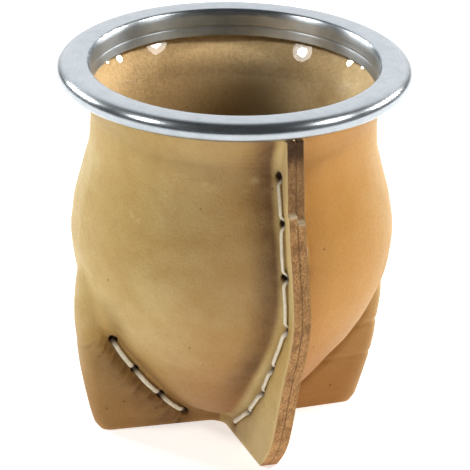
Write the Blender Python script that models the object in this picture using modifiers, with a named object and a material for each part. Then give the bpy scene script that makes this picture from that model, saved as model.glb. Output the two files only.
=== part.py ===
"""A mate cup: a glass liner in one piece of sewn leather, with a spun aluminium rim.

The leather is one sheet wrapped round the glass. Its two ends meet in a seam at the front, and
three folds of it, at the left, the right and the back, run down into feet like the seam's own.
Lengths are in millimetres; MM turns them into metres. Azimuths are in degrees, 0 at the front
(-Y) and 90 at +X. Radii are measured from the cup's own axis.
"""
import math

import bmesh
import bpy
from mathutils import Matrix, Vector

MM = 0.001

# The cup as a whole
CUP_HEIGHT = 95.4
AXIS_Y = 1.1                # moves the cup back, because the front seam stands out past the rim

# The aluminium rim
RIM_RADIUS = 44.0
RIM_BEAD_HEIGHT = 5.2
RIM_BEAD_ROUND = 3.5        # how far in the bead's outer edge is rounded
MOUTH_RADIUS = 35.7
COLLAR_RADIUS = 35.2
COLLAR_DEPTH = 6.6
COLLAR_WALL = 0.5
COLLAR_STEP_DEPTH = 4.4
COLLAR_STEP_RISE = 0.5
COLLAR_FLARE = 0.5          # the collar's outer side leans out by this much up to the bead
MOUTH_EDGE, MOUTH_EDGE_DROP = 0.3, 0.4
RIM_SIDES = 48
BEAD_STEPS = 6

# The leather
LEATHER = 2.2
LEATHER_SKIVED = 1.2        # thinned where it lies under the rim
SKIVE_FROM, SKIVE_TO = 82.5, 87.0
LEATHER_TOP = CUP_HEIGHT - RIM_BEAD_HEIGHT - 0.8
BOWL_BOTTOM = 2.4
BOWL_END = 6.4
ROOT_FILLET = 3.0
LAYER_GAP = 0.3
SEAM_HALF = LEATHER + LAYER_GAP / 2
FOLD_HALF = 2.65
LEAST_FOLD = 0.02           # a fold that has run out still stands this much off the body

# Outer radius of the leather round the glass, by height above the floor
BODY = [(6.4, 13.6), (9.4, 16.9), (14.4, 21.5), (20.4, 26.2), (27.4, 31.6), (35.4, 36.1), (43.4, 39.0),
        (51.4, 40.0), (59.4, 39.35), (67.4, 37.35), (75.4, 35.7), (81.4, 35.45), (84.6, 36.2),
        (87.4, 37.6), (89.8, 38.3)]

# Reach of the front seam's cut edges and of the folds, by height
SEAM_REACH = [(0.0, 32.3), (3.0, 35.4), (6.5, 38.2), (10.0, 39.9), (16.0, 41.6), (22.0, 42.8), (28.0, 44.0),
              (36.0, 45.5), (43.0, 46.2), (48.0, 45.7), (55.0, 44.7), (62.0, 43.5), (68.0, 43.0),
              (76.0, 42.8), (89.8, 42.2)]
SEAM_STEP = 0.9             # the seam's upper part stands back by this much
SEAM_STEP_HALF = 0.6        # half the height over which it steps back
SEAM_STEP_HEIGHT = {1: 68.5, -1: 70.4}
FOLD_REACH = [(0.0, 33.3), (2.0, 34.6), (5.4, 35.7), (9.0, 36.7), (12.5, 37.6), (19.0, 38.9), (26.0, 39.7),
              (31.0, 40.1), (37.5, 40.2), (44.0, 39.7), (50.0, 38.6), (95.0, 30.0)]

# How much wider than its root a fold swells past its stitches, by height
FOLD_SWELL = [(0.0, 0.0), (8.0, 0.25), (16.0, 0.6), (26.0, 0.95), (36.0, 1.15), (44.0, 1.2), (95.0, 1.2)]
SWELL_PAST = (0.8, 5.0)     # distance past the stitches over which the swelling grows
SWELL_ABOVE = (24.0, 34.0)  # height over which a fold swells down to its root as well
SWELL_FADE = (0.16, math.pi / 4)    # radians either side of a fold over which the swelling dies away
FLANGE_FROM = (0.5, 3.0)    # distance off the body over which the seam's flange is full thickness

# Azimuth of each seam and how it wanders, by height
SEAMS = ["front", "right", "back", "left"]
AZIMUTH = {
    "front": [(0.0, -0.8), (15.0, 0.2), (26.0, 1.2), (36.0, 2.5), (45.0, 3.0), (55.0, 2.8), (70.0, 2.2),
              (89.8, 1.5)],
    "right": [(0.0, 92.0), (50.0, 91.0), (89.8, 90.5)],
    "back": [(0.0, 180.5), (30.0, 179.5), (89.8, 180.0)],
    "left": [(0.0, 266.5), (15.0, 267.0), (30.0, 268.0), (50.0, 270.0), (89.8, 270.0)],
}

# Where the thread goes through each seam: distance from the axis and height
SEAM_HOLES = [(36.8, 78.8), (38.9, 67.4), (41.0, 53.8), (41.6, 40.2), (35.8, 27.8), (30.8, 19.3),
              (22.4, 10.7), (11.8, 3.2)]
FOLD_HOLES = [(31.2, 24.9), (25.2, 16.2), (18.3, 8.5), (11.8, 3.2)]
THREAD_RADIUS = 0.5
THREAD_OFF = 0.4            # clear of the leather, whose facets stand a little off the true surface
THREAD_BOW = 0.15           # how much more it stands off half way between two slits
THREAD_DIP = 1.15           # how far a stitch sinks into its slit
STITCH_END = 1.9            # from a slit's middle to where the stitch is back on the leather
SLIT_LENGTH, SLIT_WIDTH, SLIT_DEPTH = 3.9, 2.0, 1.55

# Heights of the sheet's rows of points; what is below the floor is cut off level
FLOOR_TRIM = 1.6
LEVELS = [-FLOOR_TRIM, 2.9, 3.7, 4.9, 6.6, 9.5, 13.0, 17.0, 21.5, 26.5, 31.5, 36.5, 41.0, 45.5, 51.0, 58.0, 64.0,
          67.9, 69.1, 69.8, 71.0, 77.0, 82.0, 85.2, 87.5, LEATHER_TOP]
NOSE_STEPS, FOLD_STEPS, SEAM_STEPS, FILLET_STEPS, ARC_STEPS = 3, 3, 3, 2, 5
LEAST_TURN = 0.012          # radians between neighbouring points of a row
CORNER_TURN = math.radians(38)

# The glass
GLASS_SIDES = 32
GLASS_OFF = 0.8             # clear of the leather, whose flat facets cut inside its true round
GLASS_WALL = 2.3
GLASS_LIP_WALL = 1.1
GLASS_FLOOR = 4.0
GLASS_LIP_HEIGHT = CUP_HEIGHT - COLLAR_DEPTH - 0.3
GLASS_LEVELS = [GLASS_LIP_HEIGHT, 84.8, 82.0, 75.0, 65.0, 56.0, 47.0, 38.0, 28.0, 18.0, 10.5]
GLASS_BOTTOM = BOWL_BOTTOM + LEATHER + GLASS_OFF + 0.3
GLASS_FOOT_RADIUS, GLASS_FOOT_RISE = 4.0, 0.15
GLASS_FLOOR_ROUND = 1.5     # height over which the wall rounds into the floor inside
GLASS_FLOOR_SHARE, GLASS_FLOOR_RISE = 0.62, 0.5


def along(knots, x):
    """A smooth curve through the knots, without overshoot, read at x."""
    if x <= knots[0][0]:
        return knots[0][1]
    if x >= knots[-1][0]:
        return knots[-1][1]
    slopes = [(b[1] - a[1]) / (b[0] - a[0]) for a, b in zip(knots, knots[1:])]
    i = max(k for k in range(len(knots) - 1) if knots[k][0] <= x)

    def tangent(k):
        if k == 0:
            return slopes[0]
        if k == len(slopes):
            return slopes[-1]
        before, after = slopes[k - 1], slopes[k]
        if before * after <= 0:
            return 0.0
        return 2 * before * after / (before + after)

    (x0, y0), (x1, y1) = knots[i], knots[i + 1]
    width = x1 - x0
    t = (x - x0) / width
    rise = y0 * (1 + 2 * t) * (1 - t) ** 2 + y1 * t * t * (3 - 2 * t)
    return rise + width * (tangent(i) * t * (1 - t) ** 2 - tangent(i + 1) * t * t * (1 - t))


def ease(low, high, x):
    """0 below low, 1 above high, smooth between."""
    t = min(1.0, max(0.0, (x - low) / (high - low)))
    return t * t * (3 - 2 * t)


def body_radius(z):
    """Outer radius of the leather round the glass, down to the small cross left at the middle."""
    corner = math.sqrt(2) * (FOLD_HALF + ROOT_FILLET) - ROOT_FILLET
    if z >= BOWL_END:
        return along(BODY, z)
    bowl = BODY[0][1] * math.sqrt(max(0.0, z - BOWL_BOTTOM) / (BOWL_END - BOWL_BOTTOM))
    return max(bowl, corner)


def reach(seam, side, z):
    """How far from the axis a seam's edge or a fold's nose reaches."""
    if seam != "front":
        return max(along(FOLD_REACH, z), body_radius(z) + LEAST_FOLD)
    step = SEAM_STEP_HEIGHT[side]
    return along(SEAM_REACH, z) - SEAM_STEP * ease(step - SEAM_STEP_HALF, step + SEAM_STEP_HALF, z)


def fillet_centre(body, half):
    """Centre of the fillet between a fin's flat side and the round body."""
    return math.sqrt((body + ROOT_FILLET) ** 2 - (half + ROOT_FILLET) ** 2)


def fin_outline(seam, side, z):
    """The angles of one side of a fin from its tip to the body, and its radius at any angle."""
    half = SEAM_HALF if seam == "front" else FOLD_HALF
    body = body_radius(z)
    tip = reach(seam, side, z)
    root = fillet_centre(body, half)
    nose = tip - half
    if seam != "front" and root > nose:
        far = body + ROOT_FILLET
        cosine = (far * far + nose * nose - (half + ROOT_FILLET) ** 2) / (2 * far * nose)
        turn = math.acos(min(1.0, cosine))
        centre = Vector((far * math.cos(turn), far * math.sin(turn)))
        touch = Vector((nose, 0)) + (centre - Vector((nose, 0))) * half / (half + ROOT_FILLET)
        nose_end = root_start = math.atan2(touch.y, touch.x)
        root_end = turn
        side_xs = [touch.x]
    else:
        centre = Vector((root, half + ROOT_FILLET))
        nose_end = math.atan2(half, nose if seam != "front" else tip)
        root_start = math.atan2(half, root)
        root_end = math.atan2(centre.y, centre.x)
        steps = SEAM_STEPS if seam == "front" else FOLD_STEPS
        first = tip if seam == "front" else nose
        side_xs = [first + (root - first) * k / steps for k in range(1, steps)]

    def radius(turn):
        if turn <= nose_end and seam != "front":
            sine = nose * math.sin(turn)
            return nose * math.cos(turn) + math.sqrt(max(0.0, half * half - sine * sine))
        if turn <= root_start:
            return half / math.sin(turn)
        if turn >= root_end:
            return body
        ray = centre.x * math.cos(turn) + centre.y * math.sin(turn)
        return ray - math.sqrt(max(0.0, ray * ray - centre.length_squared + ROOT_FILLET ** 2))

    if seam == "front":
        turns = [nose_end]
        sides = SEAM_STEPS
    else:
        turns = [nose_end * math.sin(math.pi / 2 * k / NOSE_STEPS) for k in range(NOSE_STEPS + 1)]
        sides = FOLD_STEPS
    if len(side_xs) == 1:
        turns += [nose_end] * (sides - 1)
    else:
        turns += [math.atan2(half, x) for x in side_xs]
    root_last = min(root_end, CORNER_TURN)
    turns += [root_start + (root_last - root_start) * k / FILLET_STEPS for k in range(FILLET_STEPS + 1)]
    for k in range(1, len(turns)):
        turns[k] = max(turns[k], turns[k - 1] + LEAST_TURN)
    return turns, radius


def stitch_radius(z):
    """Distance from the axis of the folds' stitches at a height."""
    return along([(height, distance) for distance, height in reversed(FOLD_HOLES)], z)


def swollen(seam, turn, radius, z):
    """The turn from a fold's middle after the fold swells past its stitches."""
    if seam == "front":
        return turn
    past = max(ease(*SWELL_PAST, radius - stitch_radius(z)), ease(*SWELL_ABOVE, z))
    fade = 1 - ease(*SWELL_FADE, turn)
    return turn + along(FOLD_SWELL, z) * past * fade * min(turn, SWELL_FADE[0])


def azimuth(seam, z):
    return math.radians(along(AZIMUTH[seam], z))


def place(radius, angle, z):
    """A point from its distance from the axis, its azimuth in radians and its height."""
    return Vector((radius * math.sin(angle), -radius * math.cos(angle), z)) * MM


def fin_side(seam, side, z):
    """Points of one side of a fin, from its tip to the body, as azimuth and radius."""
    turns, radius = fin_outline(seam, side, z)
    middle = azimuth(seam, z)
    points = []
    for turn in turns:
        distance = radius(turn)
        points.append((middle + side * swollen(seam, turn, distance, z), distance))
    return points, radius, turns[-1]


def sheet_row(z):
    """One level of the leather's outer face, from the seam's one cut edge round to the other."""
    row = []
    for k, seam in enumerate(SEAMS):
        following = SEAMS[(k + 1) % len(SEAMS)]
        here, radius, turn = fin_side(seam, 1, z)
        there, radius_there, turn_there = fin_side(following, -1, z)
        if following == "front":
            there = [(angle + 2 * math.pi, distance) for angle, distance in there]
        if seam != "front":
            here = here[1:]
        row += here
        last, first = here[-1][0], there[-1][0]
        for step in range(1, ARC_STEPS):
            t = step / ARC_STEPS
            inner = min(turn + t * (math.pi / 2 - turn - turn_there), math.pi / 2 - turn_there)
            near = inner if t <= 0.5 else math.pi / 2 - inner
            row.append((last + t * (first - last), (radius if t <= 0.5 else radius_there)(near)))
        row += reversed(there)
    return [place(distance, angle, z) for angle, distance in row]


def leather_weight(point):
    """How thick the leather is, as a share: thinner under the rim, except on the seam's flange."""
    z = point.z / MM
    share = 1 - (1 - LEATHER_SKIVED / LEATHER) * ease(SKIVE_FROM, SKIVE_TO, z)
    out = math.hypot(point.x, point.y) / MM - body_radius(z)
    return share + (1 - share) * ease(*FLANGE_FROM, out)


def material(name, colour, roughness, metallic=0.0, transmission=0.0):
    made = bpy.data.materials.new(name)
    made.use_nodes = True
    made.diffuse_color = (*colour, 1.0)
    shader = made.node_tree.nodes["Principled BSDF"]
    shader.inputs["Base Color"].default_value = (*colour, 1.0)
    shader.inputs["Roughness"].default_value = roughness
    shader.inputs["Metallic"].default_value = metallic
    shader.inputs["Transmission Weight"].default_value = transmission
    return made


def add_object(name, data, collection, parent=None, finish=None):
    made = bpy.data.objects.new(name, data)
    collection.objects.link(made)
    made.parent = parent
    if finish is not None:
        data.materials.append(finish)
    return made


def turned(name, outline, sides, collection, parent, finish, closed):
    """A turned solid: its outline, at +X, runs down its outer side, and the Screw turns it."""
    mesh = bpy.data.meshes.new(name)
    points = [(radius * MM, 0, z * MM) for radius, z in outline]
    edges = [(k, k + 1) for k in range(len(points) - 1)]
    if closed:
        edges.append((len(points) - 1, 0))
    mesh.from_pydata(points, edges, [])
    made = add_object(name, mesh, collection, parent, finish)
    screw = made.modifiers.new("turn", "SCREW")
    screw.axis = "Z"
    screw.angle = 2 * math.pi
    screw.steps = sides
    screw.render_steps = sides
    screw.use_merge_vertices = True
    screw.merge_threshold = 0.00001
    screw.use_smooth_shade = True
    return made


def rim_outline():
    """Section of the rim: a flat-topped bead with a rounded edge, and a collar down the mouth."""
    top = CUP_HEIGHT
    outline = [(MOUTH_RADIUS + MOUTH_EDGE, top)]
    centre = RIM_RADIUS - RIM_BEAD_ROUND
    for k in range(BEAD_STEPS + 1):
        turn = math.pi * k / BEAD_STEPS
        half = RIM_BEAD_HEIGHT / 2
        outline.append((centre + RIM_BEAD_ROUND * math.sin(turn), top - half + half * math.cos(turn)))
    outer = COLLAR_RADIUS + COLLAR_WALL
    outline.append((outer + COLLAR_FLARE, top - RIM_BEAD_HEIGHT))
    outline.append((outer, top - COLLAR_DEPTH))
    outline.append((COLLAR_RADIUS, top - COLLAR_DEPTH))
    outline.append((COLLAR_RADIUS, top - COLLAR_STEP_DEPTH))
    outline.append((MOUTH_RADIUS, top - COLLAR_STEP_DEPTH + COLLAR_STEP_RISE))
    outline.append((MOUTH_RADIUS, top - MOUTH_EDGE_DROP))
    return outline


def body_slope(z):
    """How fast the body's radius grows with height."""
    return along(BODY, z + 0.5) - along(BODY, z - 0.5)


def glass_outline():
    """Section of the glass, from the middle of its inner floor over the lip to its outer bottom."""
    clear = LEATHER + GLASS_OFF
    outer = []
    for z in GLASS_LEVELS:
        slope = body_slope(z)
        run = math.hypot(1.0, slope)
        wall = clear - (LEATHER - LEATHER_SKIVED) * ease(SKIVE_FROM, SKIVE_TO, z)
        outer.append((along(BODY, z) - wall / run, z + wall * slope / run))
    outer[0] = (outer[0][0], GLASS_LIP_HEIGHT)
    outer.append((GLASS_FOOT_RADIUS, GLASS_BOTTOM + GLASS_FOOT_RISE))
    outer.append((0.0, GLASS_BOTTOM))
    inner = []
    for radius, z in outer[:-3]:
        slope = body_slope(z)
        run = math.hypot(1.0, slope)
        wall = GLASS_WALL - (GLASS_WALL - GLASS_LIP_WALL) * ease(SKIVE_FROM, SKIVE_TO, z)
        inner.append((radius - wall / run, z + wall * slope / run))
    inner[0] = (inner[0][0], GLASS_LIP_HEIGHT)
    floor = GLASS_BOTTOM + GLASS_FLOOR
    inner = [point for point in inner if point[1] > floor + GLASS_FLOOR_ROUND]
    inner.append((inner[-1][0] * GLASS_FLOOR_SHARE, floor + GLASS_FLOOR_RISE))
    inner.append((0.0, floor))
    return list(reversed(inner)) + outer


def slit_frame(seam, side, holes, k):
    """Where a slit lies: its middle on the leather's face, with axes along the seam and out of it."""
    before = holes[max(0, k - 1)]
    after = holes[min(len(holes) - 1, k + 1)]
    here = on_face(seam, side, holes[k], 0.0)
    run = (on_face(seam, side, after, 0.0) - on_face(seam, side, before, 0.0)).normalized()
    out = on_face(seam, side, holes[k], 1.0) - here
    out = (out - run * out.dot(run)).normalized()
    across = out.cross(run)
    return Matrix((run, across, out)).transposed().to_4x4(), here


def on_face(seam, side, hole, off):
    """A point on a fin's flat side, from its distance along the fin and height, raised by off."""
    distance, z = hole
    half = SEAM_HALF if seam == "front" else FOLD_HALF
    root = fillet_centre(body_radius(z), half)
    if distance < root:
        half += ROOT_FILLET - math.sqrt(max(0.0, ROOT_FILLET ** 2 - (root - distance) ** 2))
    middle = azimuth(seam, z)
    along_fin = Vector((math.sin(middle), -math.cos(middle), 0)) * distance
    across_fin = Vector((math.cos(middle), math.sin(middle), 0)) * side * (half + off)
    return (along_fin + across_fin + Vector((0, 0, z))) * MM


def make_trim_cutter(collection, parent):
    """The slits that the stitches sink into, and a slab that cuts the feet level with the floor."""
    shape = bmesh.new()
    slab = Matrix.Diagonal((3 * RIM_RADIUS * MM, 3 * RIM_RADIUS * MM, 2 * FLOOR_TRIM * MM, 1.0))
    bmesh.ops.create_cube(shape, size=1.0, matrix=Matrix.Translation((0, 0, -FLOOR_TRIM * MM)) @ slab)
    for seam in SEAMS:
        holes = SEAM_HOLES if seam == "front" else FOLD_HOLES
        for side in (1, -1):
            for k in range(len(holes)):
                turn, middle = slit_frame(seam, side, holes, k)
                size = Matrix.Diagonal((SLIT_LENGTH * MM, SLIT_WIDTH * MM, 2 * SLIT_DEPTH * MM, 1.0))
                bmesh.ops.create_cube(shape, size=1.0, matrix=Matrix.Translation(middle) @ turn @ size)
    mesh = bpy.data.meshes.new("trim_cutter")
    shape.to_mesh(mesh)
    shape.free()
    cutter = add_object("trim_cutter", mesh, collection, parent)
    cutter.hide_render = True
    cutter.display_type = "WIRE"
    return cutter


def make_leather(collection, parent, cutter):
    """The leather cover: an open sheet lofted through its levels, thickened inwards, then trimmed."""
    rows = [sheet_row(z) for z in LEVELS]
    width = len(rows[0])
    points = [point for row in rows for point in row]
    faces = []
    for level in range(len(rows) - 1):
        for k in range(width - 1):
            low = level * width + k
            faces.append((low, low + 1, low + width + 1, low + width))
    mesh = bpy.data.meshes.new("leather_cover")
    mesh.from_pydata(points, [], faces)
    mesh.shade_smooth()
    tan = material("veg_tan_leather", (0.50, 0.31, 0.13), 0.55)
    cover = add_object("leather_cover", mesh, collection, parent, tan)
    group = cover.vertex_groups.new(name="thickness")
    for k, point in enumerate(points):
        group.add([k], leather_weight(point), "REPLACE")
    solid = cover.modifiers.new("thickness", "SOLIDIFY")
    solid.thickness = LEATHER * MM
    solid.offset = -1
    solid.use_even_offset = True
    solid.vertex_group = group.name
    cut = cover.modifiers.new("trim", "BOOLEAN")
    cut.operation = "DIFFERENCE"
    cut.object = cutter
    return cover


def thread_points(seam, side):
    """The line of a seam's thread on one side: along the leather, sunk into each slit."""
    holes = SEAM_HOLES if seam == "front" else FOLD_HOLES
    clear = THREAD_RADIUS + THREAD_OFF
    points = []
    for first, second in zip(holes, holes[1:]):
        length = math.dist(first, second)
        for share, off in ((0.0, clear - THREAD_DIP), (STITCH_END / length, clear),
                           (0.5, clear + THREAD_BOW), (1 - STITCH_END / length, clear)):
            spot = (first[0] + share * (second[0] - first[0]), first[1] + share * (second[1] - first[1]))
            points.append(on_face(seam, side, spot, off))
    points.append(on_face(seam, side, holes[-1], clear - THREAD_DIP))
    return points


def make_thread(seam, side, collection, parent, finish):
    name = f"thread_{seam}_{'a' if side > 0 else 'b'}"
    curve = bpy.data.curves.new(name, "CURVE")
    curve.dimensions = "3D"
    curve.bevel_depth = THREAD_RADIUS * MM
    curve.bevel_resolution = 1
    curve.use_fill_caps = True
    points = thread_points(seam, side)
    spline = curve.splines.new("POLY")
    spline.points.add(len(points) - 1)
    for slot, point in zip(spline.points, points):
        slot.co = (*point, 1.0)
    return add_object(name, curve, collection, parent, finish)


def main():
    for old in list(bpy.data.objects):
        bpy.data.objects.remove(old)
    parts = bpy.data.collections.new("leather_mate_cup")
    cutters = bpy.data.collections.new("cutters")
    for group in (parts, cutters):
        bpy.context.scene.collection.children.link(group)
    axis = add_object("cup_axis", None, parts)
    axis.location = (0, AXIS_Y * MM, 0)

    aluminium = material("spun_aluminium", (0.72, 0.75, 0.77), 0.22, metallic=1.0)
    glass = material("clear_glass", (0.95, 0.97, 0.97), 0.03, transmission=1.0)
    thread = material("waxed_thread", (0.78, 0.75, 0.68), 0.6)
    turned("rim_ring", rim_outline(), RIM_SIDES, parts, axis, aluminium, closed=True)
    turned("glass_liner", glass_outline(), GLASS_SIDES, parts, axis, glass, closed=False)
    make_leather(parts, axis, make_trim_cutter(cutters, axis))
    for seam in SEAMS:
        for side in (1, -1):
            make_thread(seam, side, parts, axis, thread)


main()
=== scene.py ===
"""Looks of the leather covered mate cup: sewn leather, glass liner, spun aluminium rim, waxed thread.

The leather, glass, rim and threads are rebuilt here with finer meshes from the same named sizes as
the CAD part, and dressed with procedural materials. Lengths are in millimetres; MM turns them into
metres. Azimuths are in degrees, 0 at the front (-Y) and 90 at +X.
"""

import math

import bpy
import numpy as np
from mathutils import Matrix, Vector


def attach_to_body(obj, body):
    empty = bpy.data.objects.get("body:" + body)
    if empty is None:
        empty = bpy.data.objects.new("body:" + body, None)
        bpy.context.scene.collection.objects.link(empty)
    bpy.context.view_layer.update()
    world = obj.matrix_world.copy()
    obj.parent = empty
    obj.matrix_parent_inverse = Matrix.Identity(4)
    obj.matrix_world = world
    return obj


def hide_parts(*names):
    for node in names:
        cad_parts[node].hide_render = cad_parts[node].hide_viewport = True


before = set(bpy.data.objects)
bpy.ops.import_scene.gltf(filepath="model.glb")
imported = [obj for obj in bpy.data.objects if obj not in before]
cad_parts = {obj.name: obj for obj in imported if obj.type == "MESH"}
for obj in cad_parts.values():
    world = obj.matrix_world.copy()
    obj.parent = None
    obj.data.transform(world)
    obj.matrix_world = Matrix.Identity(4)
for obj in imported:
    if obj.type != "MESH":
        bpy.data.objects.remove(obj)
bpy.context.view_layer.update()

MM = 0.001

EIGHTH = math.pi / 4            # from the middle of a fin to the middle between two fins

# The cup as a whole, as in the CAD part
CUP_HEIGHT = 95.4
AXIS_Y = 1.1
RIM_RADIUS, RIM_BEAD_HEIGHT, RIM_BEAD_ROUND = 44.0, 5.2, 3.5
MOUTH_RADIUS, COLLAR_RADIUS, COLLAR_WALL = 35.7, 35.2, 0.5
COLLAR_DEPTH, COLLAR_STEP_DEPTH = 6.6, 4.2

LEATHER, LEATHER_SKIVED = 2.2, 1.2
SKIVE_FROM, SKIVE_TO = 82.5, 87.0
LEATHER_TOP = CUP_HEIGHT - RIM_BEAD_HEIGHT - 0.8
BOWL_BOTTOM, BOWL_END = 2.4, 6.4
ROOT_FILLET = 3.0
SEAM_HALF, FOLD_HALF, LEAST_FOLD = 2.35, 2.65, 0.02
CORNER = math.sqrt(2) * (FOLD_HALF + ROOT_FILLET) - ROOT_FILLET    # between two folds, under the bowl

BODY = [(6.4, 13.6), (9.4, 16.9), (14.4, 21.5), (20.4, 26.2), (27.4, 31.6), (35.4, 36.1), (43.4, 39.0),
        (51.4, 40.0), (59.4, 39.35), (67.4, 37.35), (75.4, 35.7), (81.4, 35.45), (84.6, 36.2),
        (87.4, 37.6), (89.8, 38.3)]
SEAM_REACH = [(0.0, 32.3), (3.0, 35.4), (6.5, 38.2), (10.0, 39.9), (16.0, 41.6), (22.0, 42.8), (28.0, 44.0),
              (36.0, 45.5), (43.0, 46.2), (48.0, 45.7), (55.0, 44.7), (62.0, 43.5), (68.0, 43.0),
              (76.0, 42.8), (89.8, 42.2)]
SEAM_STEP = 0.9
SEAM_STEP_HEIGHT = {1: 68.5, -1: 70.4}
EDGE_INSIDE = 0.12              # keeps the cut edges inside the CAD part's box
FOLD_REACH = [(0.0, 33.3), (2.0, 34.6), (5.4, 35.7), (9.0, 36.7), (12.5, 37.6), (19.0, 38.9), (26.0, 39.7),
              (31.0, 40.1), (37.5, 40.2), (44.0, 39.7), (50.0, 38.6), (95.0, 30.0)]
FOLD_SWELL = [(0.0, 0.0), (8.0, 0.25), (16.0, 0.6), (26.0, 0.95), (36.0, 1.15), (44.0, 1.2), (95.0, 1.2)]
SWELL_FADE = (0.16, EIGHTH)     # radians either side of a fold over which the swelling dies away
SWELL_PAST = (0.8, 5.0)         # it grows over this distance outside the stitches
SWELL_ABOVE = (24.0, 34.0)      # and over these heights everywhere
LAYERS_APART = 0.06             # half the gap between a fin's two layers
SHUT_REACH = 4.5                # how far the leather reaches towards the axis at the floor
SEAMS = ["front", "right", "back", "left"]
FRONT, RIGHT, LEFT = 0, 1, 3      # their numbers
AZIMUTH = {
    "front": [(0.0, -0.8), (15.0, 0.2), (26.0, 1.2), (36.0, 2.5), (45.0, 3.0), (55.0, 2.8), (70.0, 2.2),
              (89.8, 1.5)],
    "right": [(0.0, 92.0), (50.0, 91.0), (89.8, 90.5)],
    "back": [(0.0, 180.5), (30.0, 179.5), (89.8, 180.0)],
    "left": [(0.0, 266.5), (15.0, 267.0), (30.0, 268.0), (50.0, 270.0), (89.8, 270.0)],
}

# Stitch holes from the top down: distance from the axis, and height
SEAM_HOLES = [(36.8, 78.8), (38.9, 67.4), (41.0, 53.8), (41.6, 40.2), (35.8, 27.8), (30.8, 19.3),
              (22.4, 10.7), (11.8, 3.2)]
FOLD_HOLES = [(31.2, 24.9), (25.2, 16.2), (18.3, 8.5), (11.8, 3.2)]
SLIT_HALF_LENGTH, SLIT_HALF_WIDTH, SLIT_DEPTH = 1.5, 0.85, 1.3
SLIT_DRAWN_AND_SHADED = (2.4, 1.5)         # how far round a slit the leather is drawn in and darkened with painted shade, along and across it
STITCH_DENT, SLIT_DENT, SCRATCH_DEPTH = 0.28, 0.16, 0.16

THREAD_WIDE, THREAD_HIGH = 0.60, 0.38   # half its width and half its height
THREAD_SIDES = 14
THREAD_LIES, THREAD_SINKS = 0.34, 1.0   # its middle above the leather, and below it in a slit
TIGHT_LIES = 0.05               # the same where the thread is pulled into the leather
STITCH_BOW = 0.30               # how far a stitch bows sideways
THREAD_STEP = 0.25

# Scratches on the leather, each from one azimuth and height to another; the last two pale ones are painted
# highlight specks laid on as raised pale scratches
PALE_SCRATCHES_AND_GLINTS = [((-14.0, 75.1), (-9.6, 79.7)), ((-32.3, 77.5), (-27.6, 75.6)),
                  ((-61.0, 66.6), (-58.4, 65.2)), ((-57.0, 64.6), (-55.6, 65.4))]
DARK_SCRATCHES = [((-8.0, 79.9), (-3.6, 78.2))]

GLASS_OFF, GLASS_WALL, GLASS_FLOOR = 0.15, 2.3, 4.0
GLASS_NECK, GLASS_LIP_HEIGHT = 75.0, 89.3
GLASS_LIP_RADIUS = 36.3         # inside, just outside the collar
GLASS_LIP_ROUND = 0.35
GLASS_LEAN = [(75.0, 0.0), (78.5, 9.0), (82.0, 27.0), (84.0, 33.0), (89.4, 43.0)]   # degrees, by height

# Fineness of the leather's mesh
SIDE_COLUMNS = 48               # over an eighth of a turn
COLUMN_SHARES = (2.2, 1.0, 1.5, 0.62)   # how close they are on the nose, side, root fillet and body
STITCH_SHARE, STITCH_REACH = 6.5, 1.9   # closer still, and how near the stitches
FOLD_SEWN = (28.0, 34.0)        # the heights over which a fold's stitches end
ROW_STEP = 0.4
BOWL_ROWS = 12
INNER_SKIP = 4                  # the flesh side takes every fourth row and column
EDGE_STEPS = 8                  # across a cut edge
NOISE_TABLE = np.random.default_rng(7).random((64, 64, 64))

# The camera, fitted to the rim's ellipses, the body's outline and the feet
CAMERA_AZIMUTH, CAMERA_ELEVATION, CAMERA_ROLL = -20.0, 22.57, 1.25
CAMERA_DISTANCE = 1600.0
CAMERA_LENS = 491.9
CAMERA_AIM = (1.01, 48.88)      # to the camera's right of the axis, and up

# Round lamps: degrees to the camera's right, elevation, distance and size in metres, power, tone.
# Two large ones with bright cores hang at the sides, and four small ones farther back.
LAMPS = {
    "lamp_left": (-71.0, 47.0, 1.1, 0.27, 1.6, (1.0, 0.99, 0.96)),
    "lamp_left_core": (-71.0, 47.0, 1.08, 0.13, 2.0, (1.0, 0.99, 0.96)),
    "lamp_right": (84.0, 48.5, 1.1, 0.27, 1.6, (1.0, 0.98, 0.94)),
    "lamp_right_core": (84.0, 48.5, 1.08, 0.13, 2.0, (1.0, 0.98, 0.94)),
    "side_left_high": (-116.0, 31.0, 1.1, 0.08, 2.6, (1.0, 1.0, 0.97)),
    "side_left_low": (-129.0, 25.0, 1.1, 0.06, 2.2, (1.0, 1.0, 0.97)),
    "side_right_high": (116.0, 31.0, 1.1, 0.08, 3.0, (1.0, 0.97, 0.93)),
    "side_right_low": (129.0, 25.0, 1.1, 0.06, 2.6, (1.0, 0.97, 0.93)),
}
LAMP_AIM = (0.0, AXIS_Y * MM, 0.05)
WORLD_LIGHT, WORLD_DARK = 1.22, 0.07
BACKDROP_ELEVATION, BACKDROP_EDGE = 25.0, (0.76, 0.94)      # its edge as cosines from its middle
FLOOR_HALF = 6.0


def along(knots, x):
    """A smooth curve through the knots, without overshoot, read at x."""
    xs, ys = np.array(knots, float).T
    x = np.clip(x, xs[0], xs[-1])
    widths = np.diff(xs)
    slopes = np.diff(ys) / widths
    before, after = slopes[:-1], slopes[1:]
    alike = before * after > 0
    middle = np.where(alike, 2 * before * after / np.where(alike, before + after, 1.0), 0.0)
    tangents = np.concatenate([slopes[:1], middle, slopes[-1:]])
    i = np.clip(np.searchsorted(xs, x, side="right") - 1, 0, len(xs) - 2)
    t = (x - xs[i]) / widths[i]
    rise = ys[i] * (1 + 2 * t) * (1 - t) ** 2 + ys[i + 1] * t * t * (3 - 2 * t)
    return rise + widths[i] * (tangents[i] * t * (1 - t) ** 2 - tangents[i + 1] * t * t * (1 - t))


def ease(low, high, x):
    """0 below low, 1 above high, smooth between."""
    t = np.clip((x - low) / (high - low), 0.0, 1.0)
    return t * t * (3 - 2 * t)


def hill(middle, width, x):
    """A smooth hill, 1 at its middle."""
    return np.exp(-((x - middle) / width) ** 2)


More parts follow.
